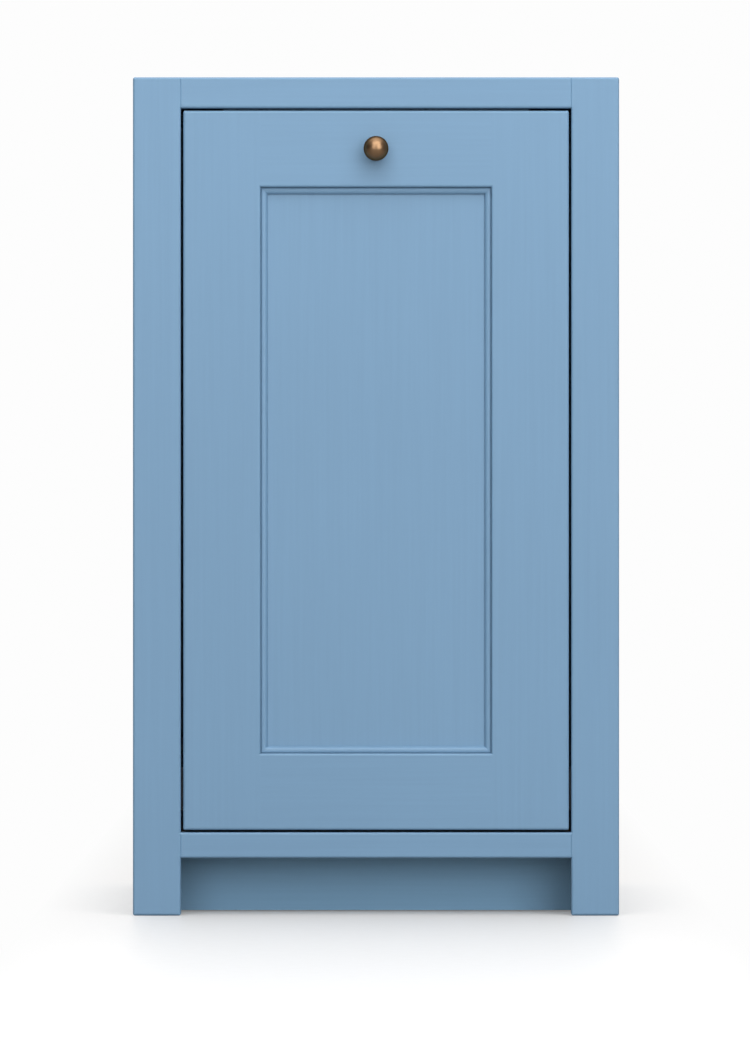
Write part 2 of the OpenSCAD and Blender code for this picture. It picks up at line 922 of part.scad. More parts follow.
module front_stile(side) {
    color(paint) difference() {
        intersection() {
            front_blank();
            side_board(side, [panel_open_w / 2, front_w / 2], [0, front_t], [front_z0, front_z1]);
        }
        front_window();
        panel_groove();
        front_tenons(side);
        front_screw_holes();
    }
}

module front_rail(z0, z1) {
    color(paint) difference() {
        union() {
            intersection() {
                front_blank();
                board([-panel_open_w / 2, panel_open_w / 2], [0, front_t], [z0, z1]);
            }
            intersection() {
                for (side = [left, right]) {
                    front_tenons(side);
                }
                board([-front_w, front_w], [0, front_t], [z0, z1]);
            }
        }
        front_window();
        panel_groove();
        knob_screw_hole();
    }
}

module front_top_rail() {
    front_rail(panel_z1, front_z1);
}

module front_bottom_rail() {
    front_rail(front_z0, panel_z0);
}

module front_panel() {
    reach = groove_d - groove_play;
    color(paint) board([-panel_open_w / 2 - reach, panel_open_w / 2 + reach],
        [panel_recess, panel_recess + panel_t], [panel_z0 - reach, panel_z1 + reach]);
}

// Bead section: X runs from the frame's edge to the panel, Y up from the panel.
// A narrow quirk beside the frame is followed by a round that drops to the panel.
module bead_section() {
    square([quirk_w + cut, quirk_floor]);
    intersection() {
        translate([bead_crest, bead_h - bead_r]) circle(bead_r);
        translate([quirk_w, 0]) square([bead_w - quirk_w, bead_h]);
    }
}

// Bead along the lower edge of an opening, span wide and reach high, centred on it
module bead_strip(span, reach) {
    foot = -reach / 2;
    intersection() {
        translate([-span / 2, panel_recess, foot]) rotate([90, 0, 90]) linear_extrude(height = span)
            rotate(90) bead_section();
        rotate([90, 0, 0]) translate([0, 0, -panel_recess - cut]) linear_extrude(height = panel_recess + 2 * cut)
            polygon([
                [-span / 2, foot],
                [span / 2, foot],
                [span / 2 - bead_w, foot + bead_w],
                [-span / 2 + bead_w, foot + bead_w]
            ]);
    }
}

// Bead on one of the four edges of the panel opening, by its turn from the lower one
module bead(turn) {
    upright = abs(turn) == 90;
    span = upright ? panel_open_h : panel_open_w;
    reach = upright ? panel_open_w : panel_open_h;
    color(paint) translate([0, at(0), (panel_z0 + panel_z1) / 2]) rotate([0, turn, 0])
        bead_strip(span, reach);
}

// Knob

module knob_screw_hole() {
    translate([0, at(front_t), knob_z]) rotate([90, 0, 0]) screw_hole(knob_screw_d, front_t);
}

module knob_profile() {
    ball_r = knob_d / 2;
    neck_r = knob_neck_d / 2;
    cove_r = (knob_base_d - knob_neck_d) / 4;
    square([knob_base_d / 2, knob_base_t]);
    square([neck_r, knob_reach - ball_r]);
    difference() {
        translate([0, knob_base_t]) square([neck_r + cove_r, cove_r]);
        translate([neck_r + cove_r, knob_base_t + cove_r]) circle(cove_r);
    }
    intersection() {
        translate([0, knob_reach - ball_r]) circle(ball_r);
        translate([0, knob_reach - knob_d]) square(knob_d);
    }
}

module knob() {
    color(bronze) translate([0, at(0), knob_z]) rotate([90, 0, 0]) difference() {
        rotate_extrude() knob_profile();
        translate([0, 0, -cut]) cylinder(h = knob_screw_bite + 2 * cut, r = knob_screw_d / 2 + screw_fit);
    }
}

module knob_screw() {
    color(zinc) translate([0, at(front_t), knob_z]) rotate([90, 0, 0])
        screw(knob_screw_d, front_t + knob_screw_bite);
}

// Tray

// Outline of the tails of one corner: X from the board's end inwards, Y up
module tails() {
    for (i = [0:tail_count - 1]) {
        middle = (i + 0.5) * tail_pitch;
        polygon([
            [0, middle - tail_wide / 2],
            [tray_t, middle - tail_narrow / 2],
            [tray_t, middle + tail_narrow / 2],
            [0, middle + tail_wide / 2]
        ]);
    }
}

// Tails at the front or the back end of the tray's sides, as solids between two widths
module corner_tails(x0, x1, back_end) {
    along_x(x0, x1) translate([back_end ? front_t + tray_len : front_t, tray_z0])
        mirror([back_end ? 1 : 0, 0]) tails();
}

module tray_bottom_space() {
    reach = tray_in_w / 2 + tray_groove;
    board([-reach, reach], [tray_front_d - tray_groove, tray_back_d + tray_groove], [bottom_z0, bottom_z1]);
}

module tray_bottom() {
    color(plywood) tray_bottom_space();
}

module tray_divider_space() {
    reach = tray_in_w / 2 + tray_groove;
    board([-reach, reach], [divider_d - divider_t / 2, divider_d + divider_t / 2],
        [bottom_z1, bottom_z1 + divider_h]);
}

module tray_divider() {
    color(plywood) tray_divider_space();
}

module tray_side(side) {
    outer = side * tray_w / 2;
    inner = side * tray_in_w / 2;
    color(hardwood) difference() {
        union() {
            side_board(side, [tray_in_w / 2, tray_w / 2], [tray_front_d, tray_back_d], [tray_z0, tray_z1]);
            for (back_end = [false, true]) {
                corner_tails(min(inner, outer), max(inner, outer), back_end);
            }
        }
        tray_bottom_space();
        tray_divider_space();
        place_slide_tray_screws(side) screw_hole(small_screw_d, small_screw_len);
        place_brace_tray_screws(side) screw_hole(small_screw_d, small_screw_len);
    }
}

// Front or back board of the tray, cut away where the tails of the sides come through
module tray_end(back_end) {
    d0 = back_end ? tray_back_d : front_t;
    color(hardwood) difference() {
        board([-tray_w / 2, tray_w / 2], [d0, d0 + tray_t], [tray_z0, tray_z1]);
        corner_tails(-tray_w / 2 - cut, -tray_in_w / 2, back_end);
        corner_tails(tray_in_w / 2, tray_w / 2 + cut, back_end);
        tray_bottom_space();
        if (!back_end) {
            place_tray_front_screws() screw_hole(large_screw_d, tray_t);
        }
    }
}

module tray_front_screws() {
    color(zinc) place_tray_front_screws() screw(large_screw_d, tray_t + front_screw_bite);
}

// Braces

module brace_web() {
    foot = tray_z1 - brace_lap;
    crown = tray_z1 + brace_h;
    difference() {
        polygon([
            [front_t, foot + brace_lap / 2],
            [front_t + brace_lap / 2, foot],
            [front_t + brace_run, foot],
            [front_t + brace_run, tray_z1],
            [front_t + brace_flange, crown],
            [front_t, crown]
        ]);
        for (i = [0:2]) {
            wide = brace_run - (brace_run - brace_flange) * (i + 0.5) / 3;
            translate([front_t + wide / 2, tray_z1 + brace_h * (i + 0.5) / 3]) circle(d = wide / 2);
        }
    }
}

module brace(side) {
    x0 = side == left ? -brace_x : brace_x - brace_t;
    color(zinc) difference() {
        union() {
            along_x(x0, x0 + brace_t) brace_web();
            side_board(side, [brace_x - brace_flange, brace_x], [front_t, front_t + brace_t],
                [tray_z1 + brace_t, tray_z1 + brace_h]);
        }
        place_brace_front_screws() screw_hole(small_screw_d, small_screw_len);
        place_brace_tray_screws(side) screw_hole(small_screw_d, small_screw_len);
    }
}

module brace_screws() {
    color(zinc) {
        place_brace_front_screws() screw(small_screw_d, small_screw_len);
        both_sides() place_brace_tray_screws($side) screw(small_screw_d, small_screw_len);
    }
}

// Bins

// Outline of a bin at the wall of its collar, drawn in by inset on every side
module bin_outline(inset) {
    r = bin_corner_r - inset;
    offset(r = r, $fn = rim_fn) square([bin_w - 2 * rim_w - 2 * inset - 2 * r,
        bin_d - 2 * rim_w - 2 * inset - 2 * r], center = true);
}

// Solid through rings that are each a height and an inset, the last one at its top
module bin_rings(rings) {
    hull() {
        for (i = [0:len(rings) - 1]) {
            lower = i == len(rings) - 1 ? skin : 0;
            translate([0, 0, rings[i][0] - lower]) linear_extrude(height = skin) bin_outline(rings[i][1]);
        }
    }
}

// Rings of a quarter round that starts at a height and widens up to an inset
function round_out(z, inset, r) =
    [for (a = [0:round_step:90]) [z + r * (1 - cos(a)), inset + r * (1 - sin(a))]];

// Rings of a quarter round that starts at a height and an inset and narrows
function round_in(z, inset, r) =
    [for (a = [0:round_step:90]) [z + r * sin(a), inset + r * (1 - cos(a))]];

// Inset of the tapered wall at a height
function draw_in(z) = bin_taper * (1 - z / bin_h);

// Tapered body with a rounded base and a wider collar, its faces moved inwards by a wall
module bin_body(z0, z1, wall) {
    base_r = bin_base_r - wall / 2;
    step_z = bin_h - rim_h - collar_h;
    bin_rings(concat(
        round_out(z0, wall + draw_in(z0 + base_r) + bin_step, base_r),
        [[step_z, wall + draw_in(step_z) + bin_step]]
    ));
    bin_rings([
        [step_z - 2 * bin_step, wall + draw_in(step_z) + bin_step],
        [step_z, wall + draw_in(step_z)],
        [z1, wall + draw_in(z1)]
    ]);
}

// Rolled rim as a solid, its faces moved inwards by a wall
module bin_rim(z0, wall) {
    bin_rings(concat(
        [[z0, wall - rim_w]],
        round_in(bin_h - rim_r, wall - rim_w, rim_r - wall)
    ));
}

module bin(d) {
    color(bin_plastic) translate([0, at(d), bottom_z1]) difference() {
        union() {
            bin_body(0, bin_h, 0);
            bin_rim(bin_h - rim_h, 0);
        }
        difference() {
            bin_rim(bin_h - rim_h - cut, bin_wall);
            bin_body(0, bin_h, 0);
        }
        bin_body(bin_wall + bin_kick, bin_h + cut, bin_wall);
        translate([0, 0, -cut]) linear_extrude(height = cut + bin_kick)
            bin_outline(draw_in(0) + bin_step + bin_base_r + bin_foot_w);
    }
}

frame_stile(left);  // frame_stile_left
frame_stile(right);  // frame_stile_right
frame_top_rail();
frame_bottom_rail();
side_panel(left);  // side_panel_left
side_panel(right);  // side_panel_right
cabinet_floor();
back_panel();
stretcher_front();
stretcher_back();
dust_panel();
anchor_rail();
toe_kick();
toe_kick_blocks();
slide_packer(left);  // slide_packer_left
slide_packer(right);  // slide_packer_right
packer_screws();
slide_outer(left);  // slide_outer_left
slide_outer(right);  // slide_outer_right
slide_cabinet_screws();
slide_buffers();
door_stop();
bumper_pads();
slide_middle(left);  // slide_middle_left
slide_middle(right);  // slide_middle_right
ball_retainers_outer();
balls_outer();
ball_retainers_inner();
balls_inner();
front_stile(left);  // front_stile_left
front_stile(right);  // front_stile_right
front_top_rail();
front_bottom_rail();
front_panel();
bead(0);  // bead_bottom
bead(90);  // bead_left
bead(180);  // bead_top
bead(-90);  // bead_right
knob();
knob_screw();
tray_end(false);  // tray_front
tray_end(true);  // tray_back
tray_side(left);  // tray_side_left
tray_side(right);  // tray_side_right
tray_bottom();
tray_divider();
tray_front_screws();
brace(left);  // brace_left
brace(right);  // brace_right
brace_screws();
slide_inner(left);  // slide_inner_left
slide_inner(right);  // slide_inner_right
slide_tray_screws();
bin(bin_front_d);  // bin_front
bin(bin_rear_d);  // bin_rear
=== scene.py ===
"""Trash can cabinet: finishes, turned and moulded pieces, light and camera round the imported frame.

Lengths are metres in the frame's own axes: X across, the front faces -Y, Z up from the floor.
"""

import logging
import math
from dataclasses import dataclass, field
from enum import Enum

import bmesh
import bpy
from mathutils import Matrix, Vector


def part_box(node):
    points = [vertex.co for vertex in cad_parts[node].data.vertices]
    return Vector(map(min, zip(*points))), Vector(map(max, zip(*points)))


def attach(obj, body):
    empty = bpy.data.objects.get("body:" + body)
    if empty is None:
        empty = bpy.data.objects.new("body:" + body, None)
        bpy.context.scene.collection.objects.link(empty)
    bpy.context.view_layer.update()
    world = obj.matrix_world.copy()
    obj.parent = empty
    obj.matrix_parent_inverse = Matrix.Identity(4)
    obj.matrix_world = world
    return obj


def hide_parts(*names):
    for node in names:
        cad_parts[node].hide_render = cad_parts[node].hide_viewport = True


LOG = logging.getLogger("cabinet")

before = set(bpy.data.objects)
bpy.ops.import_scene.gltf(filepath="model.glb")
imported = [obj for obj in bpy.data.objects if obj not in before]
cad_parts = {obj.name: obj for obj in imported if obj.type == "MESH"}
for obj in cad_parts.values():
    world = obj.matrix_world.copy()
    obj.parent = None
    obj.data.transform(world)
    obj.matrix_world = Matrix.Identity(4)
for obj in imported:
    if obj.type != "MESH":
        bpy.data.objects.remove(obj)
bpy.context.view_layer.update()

Triple = tuple[float, float, float]
Color = Triple
Point = tuple[float, float]
Range = tuple[float, float]
Profile = list[Point]
Socket = bpy.types.NodeSocket

NOISE_LOW = 0.3          # most of a noise's values lie between these two
NOISE_HIGH = 0.7
MIX_INPUTS = (0, 6, 7)   # share, first and second colour of a mix node
MIX_OUTPUT = 2           # its blended colour
DRIFT_CYCLE = 97         # turns a board's name into a shift of its noise
DRIFT_STEP = 3.1
FACING_HALF = 0.5        # a surface counts as facing an axis above this share
MERGE_DISTANCE = 1e-6
SMOOTH_ANGLE = math.radians(40)
WHITE = (1.0, 1.0, 1.0)


class Axis(Enum):
    """Direction of the frame that a grain, a brush stroke or a thickness follows."""

    X = 0
    Y = 1
    Z = 2

    def stretch(self, along: float, across: float) -> Triple:
        """Texture scale with one value along this axis and another across it."""
        return tuple(along if axis is self else across for axis in Axis)


class Side(Enum):
    """Side of the cabinet as seen from the front."""

    LEFT = "left"
    RIGHT = "right"


@dataclass(frozen=True)
class Pattern:
    """Noise in cycles per metre along and across an axis, with its finer octaves and its warp."""

    along: float
    across: float
    detail: float = 2.0
    warp: float = 0.0

    @classmethod
    def even(cls, cycles: float, detail: float = 2.0, warp: float = 0.0) -> "Pattern":
        """Pattern with the same scale every way."""
        return cls(cycles, cycles, detail, warp)


class Nodes:
    """Node tree with short calls for the nodes that materials and surround share."""

    def __init__(self, tree: bpy.types.NodeTree) -> None:
        """Takes hold of a tree."""
        self.tree = tree

    def add(self, kind: str, **settings: object) -> bpy.types.Node:
        """Adds a node.

        Args:
            kind: Blender's name of the node type.
            **settings: Properties of the node and their values.

        Returns:
            The new node.
        """
        node = self.tree.nodes.new(kind)
        for name, value in settings.items():
            setattr(node, name, value)
        return node

    def feed(self, socket: Socket, value: object) -> None:
        """Links a socket to another one or gives it a fixed value.

        Args:
            socket: The input that is fed.
            value: An output socket, a number, a vector or a colour.
        """
        if isinstance(value, bpy.types.NodeSocket):
            self.tree.links.new(value, socket)
        elif socket.type == "RGBA" and len(value) == 3:
            socket.default_value = (*value, 1.0)
        else:
            socket.default_value = value

    def maths(self, operation: str, *terms: object) -> Socket:
        """Result of one sum on numbers.

        Args:
            operation: Blender's name of the operation.
            *terms: Its numbers or sockets, in order.

        Returns:
            The output socket.
        """
        node = self.add("ShaderNodeMath", operation=operation)
        for socket, term in zip(node.inputs, terms):
            self.feed(socket, term)
        return node.outputs[0]

    def vector(self, operation: str, *terms: object) -> Socket:
        """Result of one sum on vectors.

        Args:
            operation: Blender's name of the operation.
            *terms: Its vectors or sockets, in order.

        Returns:
            A number for a length or a dot product, and otherwise a vector.
        """
        node = self.add("ShaderNodeVectorMath", operation=operation)
        for socket, term in zip(node.inputs, terms):
            self.feed(socket, term)
        return node.outputs["Value" if operation in ("DOT_PRODUCT", "LENGTH") else "Vector"]


class Graph(Nodes):
    """Node tree of one material, with the patterns and blends that the finishes share."""

    def __init__(self, name: str, drift: float = 0.0) -> None:
        """Starts a material whose surface shader is still bare.

        Args:
            name: The material's name.
            drift: Shift of every noise, so that boards of one finish differ.
        """
        self.material = bpy.data.materials.new(name)
        self.material.use_nodes = True
        super().__init__(self.material.node_tree)
        self.shader = self.tree.nodes["Principled BSDF"]
        coordinates = self.add("ShaderNodeTexCoord")
        self.place = coordinates.outputs["Object"]
        self.facing = coordinates.outputs["Normal"]
        self.drift = drift

    def finish(self, **values: object) -> None:
        """Feeds the surface shader.

        Args:
            **values: Its inputs by name, with underscores in place of spaces.
        """
        for name, value in values.items():
            self.feed(self.shader.inputs[name.replace("_", " ")], value)

    def split(self, vector: Socket, axis: Axis) -> Socket:
        """One component of a vector."""
        node = self.add("ShaderNodeSeparateXYZ")
        self.feed(node.inputs[0], vector)
        return node.outputs[axis.value]

    def toward(self, axis: Axis) -> Socket:
        """How squarely the surface faces either way along an axis, from 0 to 1."""
        return self.maths("ABSOLUTE", self.split(self.facing, axis))

    def scaled(self, scale: Triple) -> Socket:
        """The place on the object multiplied by a scale for each axis, and drifted."""
        return self.vector("MULTIPLY_ADD", self.place, scale, (self.drift,) * 3)

    def noise(self, pattern: Pattern, axis: Axis = Axis.Z) -> Socket:
        """Soft noise near 0.5.

        Args:
            pattern: Its scale, octaves and warp.
            axis: The axis that the pattern's length follows.

        Returns:
            The noise.
        """
        node = self.add("ShaderNodeTexNoise")
        self.feed(node.inputs["Vector"], self.scaled(axis.stretch(pattern.along, pattern.across)))
        self.feed(node.inputs["Scale"], 1.0)
        self.feed(node.inputs["Detail"], pattern.detail)
        self.feed(node.inputs["Distortion"], pattern.warp)
        return node.outputs[0]

    def remap(self, value: Socket, start: float, end: float, low: float = 0.0, high: float = 1.0) -> Socket:
        """Maps a range to another one and clamps there.

        Args:
            value: The number that is mapped.
            start: Start of its range.
            end: End of its range.
            low: What the start becomes.
            high: What the end becomes.

        Returns:
            The mapped number.
        """
        node = self.add("ShaderNodeMapRange")
        for socket, number in zip(node.inputs, (value, start, end, low, high)):
            self.feed(socket, number)
        return node.outputs[0]

    def spread(self, value: Socket, low: float, high: float) -> Socket:
        """Maps the middle of a noise to a range and clamps it there."""
        return self.remap(value, NOISE_LOW, NOISE_HIGH, low, high)

    def mix(self, share: object, first: object, second: object) -> Socket:
        """Blends two colours.

        Args:
            share: 0 for the first colour and 1 for the second.
            first: The first colour or socket.
            second: The second colour or socket.

        Returns:
            The blended colour.
        """
        node = self.add("ShaderNodeMix", data_type="RGBA")
        for index, value in zip(MIX_INPUTS, (share, first, second)):
            self.feed(node.inputs[index], value)
        return node.outputs[MIX_OUTPUT]

    def bump(self, height: Socket, rise: float, under: Socket | None = None) -> Socket:
        """Bends the surface's normal by a height.

        Args:
            height: Noise from 0 to 1.
            rise: The height in metres that 1 stands for.
            under: A normal that is already bent.

        Returns:
            The bent normal.
        """
        node = self.add("ShaderNodeBump")
        self.feed(node.inputs["Height"], height)
        self.feed(node.inputs["Distance"], rise)
        if under is not None:
            self.feed(node.inputs["Normal"], under)
        return node.outputs[0]


FINISHES: dict[str, bpy.types.Material] = {}


class Finish:
    """A finish that can be put on any piece; each kind of it builds its material once."""

    def build(self) -> bpy.types.Material:
        """The material of this finish."""
        raise NotImplementedError

    def material(self) -> bpy.types.Material:
        """The material of this finish, built at its first use."""
        key = repr(self)
        if key not in FINISHES:
            FINISHES[key] = self.build()
        return FINISHES[key]


def darker(color: Color, share: float) -> Color:
    """A colour with its light multiplied by a share."""
    return tuple(channel * share for channel in color)


@dataclass(frozen=True)
class SatinPaint(Finish):
    """Brushed satin paint in a soft grey blue, with faint strokes along the wood."""

    strokes: Axis = Axis.Z
    color: Color = (0.154, 0.280, 0.423)
    specular: float = 0.4
    roughness: float = 0.42
    glossier: float = 0.04
    duller: float = 0.05
    tone_cycles: float = 2.5
    tone_range: float = 0.025
    stroke_pitch: float = 0.0030
    stroke_length: float = 0.15
    stroke_detail: float = 3.0
    stroke_share: float = 0.18
    stroke_shade: float = 0.82
    stroke_rise: float = 0.000035
    peel_pitch: float = 0.0007
    peel_rise: float = 0.000008

    def coat(self, graph: Graph) -> tuple[Socket, Socket, Socket]:
        """Colour, roughness and normal of the paint.

        Args:
            graph: The node tree that they are built in.

        Returns:
            The three output sockets.
        """
        tone = graph.noise(Pattern.even(self.tone_cycles))
        brush = Pattern(1 / self.stroke_length, 1 / self.stroke_pitch, self.stroke_detail)
        strokes = graph.noise(brush, self.strokes)
        patchy = graph.mix(graph.spread(tone, 0.0, 1.0), darker(self.color, 1 - self.tone_range),
                           darker(self.color, 1 + self.tone_range))
        color = graph.mix(graph.spread(strokes, 0.0, self.stroke_share), patchy,
                          darker(self.color, self.stroke_shade))
        roughness = graph.spread(strokes, self.roughness - self.glossier, self.roughness + self.duller)
        peel = graph.noise(Pattern.even(1 / self.peel_pitch))
        normal = graph.bump(strokes, self.stroke_rise, graph.bump(peel, self.peel_rise))
        return color, roughness, normal

    def build(self) -> bpy.types.Material:
        """The paint as a material."""
        graph = Graph(f"satin_paint_{self.strokes.name.lower()}")
        color, roughness, normal = self.coat(graph)
        graph.finish(Base_Color=color, Roughness=roughness, Normal=normal, Specular_IOR_Level=self.specular)
        return graph.material


@dataclass(frozen=True)
class BirchPly(Finish):
    """Birch plywood: a pale face veneer with its grain along one axis, and stacked plies on the edges."""

    board: str
    grain: Axis
    through: Axis
    ply: float = 0.0014
    least_plies: int = 3
    light: Color = (0.57, 0.42, 0.265)
    dark: Color = (0.43, 0.285, 0.165)
    end: Color = (0.34, 0.215, 0.12)
    glue: Color = (0.12, 0.065, 0.035)
    glue_share: float = 0.10
    glue_strength: float = 0.75
    hills: Pattern = Pattern(0.9, 5.5, 1.5, 0.3)
    figure_share: float = 0.30
    figure_count: float = 20.0
    clouds: Pattern = Pattern(1.6, 9.0)
    cloud_shade: float = 0.90
    fibres: Pattern = Pattern(18.0, 900.0)
    fibre_share: float = 0.30
    fibre_rise: float = 0.00003
    flecks: Pattern = Pattern(55.0, 1400.0, 1.0)
    fleck_range: Range = (-0.25, 0.30)
    end_range: Range = (0.2, 0.8)
    roughness_range: Range = (0.50, 0.68)

    @property
    def drift(self) -> float:
        """Shift of the noise that gives each board a figure of its own."""
        total = sum(ord(letter) * place for place, letter in enumerate(self.board, 1))
        return total % DRIFT_CYCLE / DRIFT_STEP

    def veneer(self, graph: Graph, fibres: Socket) -> Socket:
        """Colour of the face, from its broad figure down to its flecks.

        Args:
            graph: The node tree that it is built in.
            fibres: The noise of the fibres.

        Returns:
            The colour.
        """
        hills = graph.noise(self.hills, self.grain)
        rings = graph.maths("PINGPONG", graph.maths("MULTIPLY", hills, self.figure_count), 1.0)
        clouds = graph.spread(graph.noise(self.clouds, self.grain), 0.0, 1.0)
        flecks = graph.noise(self.flecks, self.grain)
        plain = graph.mix(clouds, self.light, darker(self.light, self.cloud_shade))
        figured = graph.mix(graph.maths("MULTIPLY", rings, self.figure_share), plain, self.dark)
        lined = graph.mix(graph.spread(fibres, 0.0, self.fibre_share), figured, self.dark)
        return graph.mix(graph.spread(flecks, *self.fleck_range), lined, self.end)

    def stack(self, graph: Graph, fibres: Socket, face: Socket) -> Socket:
        """Colour of the edges, where plies of long and of end grain lie in turn between lines of glue.

        Args:
            graph: The node tree that it is built in.
            fibres: The noise of the fibres.
            face: The colour of long grain.

        Returns:
            The colour.
        """
        low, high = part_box(self.board)
        start = low[self.through.value]
        thickness = high[self.through.value] - start
        plies = max(self.least_plies, 2 * round((thickness / self.ply - 1) / 2) + 1)
        above = graph.maths("SUBTRACT", graph.split(graph.place, self.through), start)
        depth = graph.maths("MULTIPLY", above, plies / thickness)
        odd = graph.maths("MODULO", graph.maths("FLOOR", depth), 2.0)
        end_grain = graph.mix(graph.spread(fibres, *self.end_range), self.dark, self.end)
        plain = graph.mix(odd, face, end_grain)
        line = graph.maths("LESS_THAN", graph.maths("FRACT", depth), self.glue_share)
        return graph.mix(graph.maths("MULTIPLY", line, self.glue_strength), plain, self.glue)

    def bare(self, graph: Graph) -> tuple[Socket, Socket, Socket]:
        """Colour, roughness and normal of the bare wood.

        Args:
            graph: The node tree that they are built in.

        Returns:
            The three output sockets.
        """
        fibres = graph.noise(self.fibres, self.grain)
        face = self.veneer(graph, fibres)
        on_face = graph.maths("GREATER_THAN", graph.toward(self.through), FACING_HALF)
        color = graph.mix(on_face, self.stack(graph, fibres, face), face)
        return color, graph.spread(fibres, *self.roughness_range), graph.bump(fibres, self.fibre_rise)

    def build(self) -> bpy.types.Material:
        """The plywood as a material."""
        graph = Graph(f"birch_ply_{self.board}", self.drift)
        color, roughness, normal = self.bare(graph)
        graph.finish(Base_Color=color, Roughness=roughness, Normal=normal)
        return graph.material


@dataclass(frozen=True)
class PaintedPly(Finish):
    """Plywood side of the cabinet, painted on its outer face and bare inside and on its edges."""

    board: str
    paint: SatinPaint = SatinPaint()
    film: float = 0.0004

    def build(self) -> bpy.types.Material:
        """Paint outside and bare birch elsewhere, parted by the distance from the middle."""
        birch = BirchPly(self.board, Axis.Z, Axis.X)
        graph = Graph(f"painted_{self.board}", birch.drift)
        low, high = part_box(self.board)
        outer = max(abs(low[0]), abs(high[0])) - self.film
        aside = graph.maths("ABSOLUTE", graph.split(graph.place, Axis.X))
        share = graph.maths("GREATER_THAN", aside, outer)
        pairs = zip(birch.bare(graph), self.paint.coat(graph))
        color, roughness, normal = (graph.mix(share, bare, painted) for bare, painted in pairs)
        graph.finish(Base_Color=color, Roughness=roughness, Normal=normal,
                     Specular_IOR_Level=self.paint.specular)
        return graph.material


@dataclass(frozen=True)
class Maple(Finish):
    """Clear-finished maple with growth rings running along one axis, so that board ends show them as arcs."""

    grain: Axis
    light: Color = (0.64, 0.43, 0.24)
    dark: Color = (0.46, 0.27, 0.13)
    heart: Triple = (0.11, 0.13, 0.17)
    ring: float = 0.0045
    sway: Pattern = Pattern(1.1, 7.0)
    sway_reach: float = 0.045
    late_power: float = 4.0
    late_share: float = 0.55
    fibres: Pattern = Pattern(24.0, 1100.0)
    fibre_share: float = 0.30
    fibre_rise: float = 0.000018
    flecks: Pattern = Pattern(90.0, 600.0, 1.0)
    fleck_share: float = 0.3
    fleck_shade: float = 1.05
    end_facing: float = 0.7
    end_share: float = 0.45
    roughness: float = 0.36
    duller: float = 0.12

    def rings(self, graph: Graph) -> Socket:
        """Share of late wood, from the distance to the tree's heart.

        Args:
            graph: The node tree that it is built in.

        Returns:
            The share.
        """
        heart = tuple(0.0 if axis is self.grain else place for axis, place in zip(Axis, self.heart))
        offset = graph.vector("SUBTRACT", graph.scaled(self.grain.stretch(0.0, 1.0)), heart)
        bend = graph.maths("MULTIPLY", graph.noise(self.sway, self.grain), self.sway_reach)
        span = graph.maths("ADD", graph.vector("LENGTH", offset), bend)
        season = graph.maths("FRACT", graph.maths("DIVIDE", span, self.ring))
        return graph.maths("POWER", season, self.late_power)

    def build(self) -> bpy.types.Material:
        """The wood as a material."""
        graph = Graph(f"clear_maple_{self.grain.name.lower()}")
        fibres = graph.noise(self.fibres, self.grain)
        flecks = graph.spread(graph.noise(self.flecks, self.grain), 0.0, self.fleck_share)
        base = graph.mix(graph.maths("MULTIPLY", self.rings(graph), self.late_share), self.light, self.dark)
        streaked = graph.mix(graph.spread(fibres, 0.0, self.fibre_share), base, self.dark)
        color = graph.mix(flecks, streaked, darker(self.light, self.fleck_shade))
        end = graph.maths("GREATER_THAN", graph.toward(self.grain), self.end_facing)
        shaded = graph.mix(graph.maths("MULTIPLY", end, self.end_share), color, self.dark)
        graph.finish(Base_Color=shaded, Normal=graph.bump(fibres, self.fibre_rise),
                     Roughness=graph.spread(fibres, self.roughness, self.roughness + self.duller))
        return graph.material


@dataclass(frozen=True)
class PlatedSteel(Finish):
    """Plated steel: a bright metal with faint clouds and drawing lines."""

    name: str = "zinc_plate"
    color: Color = (0.62, 0.64, 0.66)
    roughness: float = 0.30
    cloud_pitch: float = 0.0045
    line_pitch: float = 0.0004
    cloud_detail: float = 3.0
    cloud_warp: float = 0.4
    cloud_shade: float = 0.90
    line_cycles: float = 12.0
    line_rise: float = 0.000006
    glossier: float = 0.06
    duller: float = 0.10

    def build(self) -> bpy.types.Material:
        """The metal as a material."""
        graph = Graph(self.name)
        clouds = graph.noise(Pattern.even(1 / self.cloud_pitch, self.cloud_detail, self.cloud_warp))
        lines = graph.noise(Pattern(self.line_cycles, 1 / self.line_pitch), Axis.Y)
        color = graph.mix(graph.spread(clouds, 0.0, 1.0), self.color, darker(self.color, self.cloud_shade))
        roughness = graph.spread(clouds, self.roughness - self.glossier, self.roughness + self.duller)
        graph.finish(Base_Color=color, Roughness=roughness, Metallic=1.0,
                     Normal=graph.bump(lines, self.line_rise))
        return graph.material


@dataclass(frozen=True)
class AgedBronze(Finish):
    """Dark bronze that is rubbed a little lighter where hands wear it."""

    color: Color = (0.262, 0.158, 0.086)
    rubbed: Color = (0.33, 0.21, 0.125)
    rubbed_share: float = 0.30
    edge: Color = (0.20, 0.14, 0.10)
    clouds: Pattern = Pattern.even(160.0, 3.0, 0.5)
    grit: Pattern = Pattern.even(2600.0, 1.0)
    grit_rise: float = 0.000004
    roughness: float = 0.34
    glossier: float = 0.05
    duller: float = 0.07

    def build(self) -> bpy.types.Material:
        """The metal as a material."""
        graph = Graph("aged_bronze")
        clouds = graph.noise(self.clouds)
        color = graph.mix(graph.spread(clouds, 0.0, self.rubbed_share), self.color, self.rubbed)
        roughness = graph.spread(clouds, self.roughness - self.glossier, self.roughness + self.duller)
        graph.finish(Base_Color=color, Roughness=roughness, Metallic=1.0, Specular_Tint=self.edge,
                     Normal=graph.bump(graph.noise(self.grit), self.grit_rise))
        return graph.material


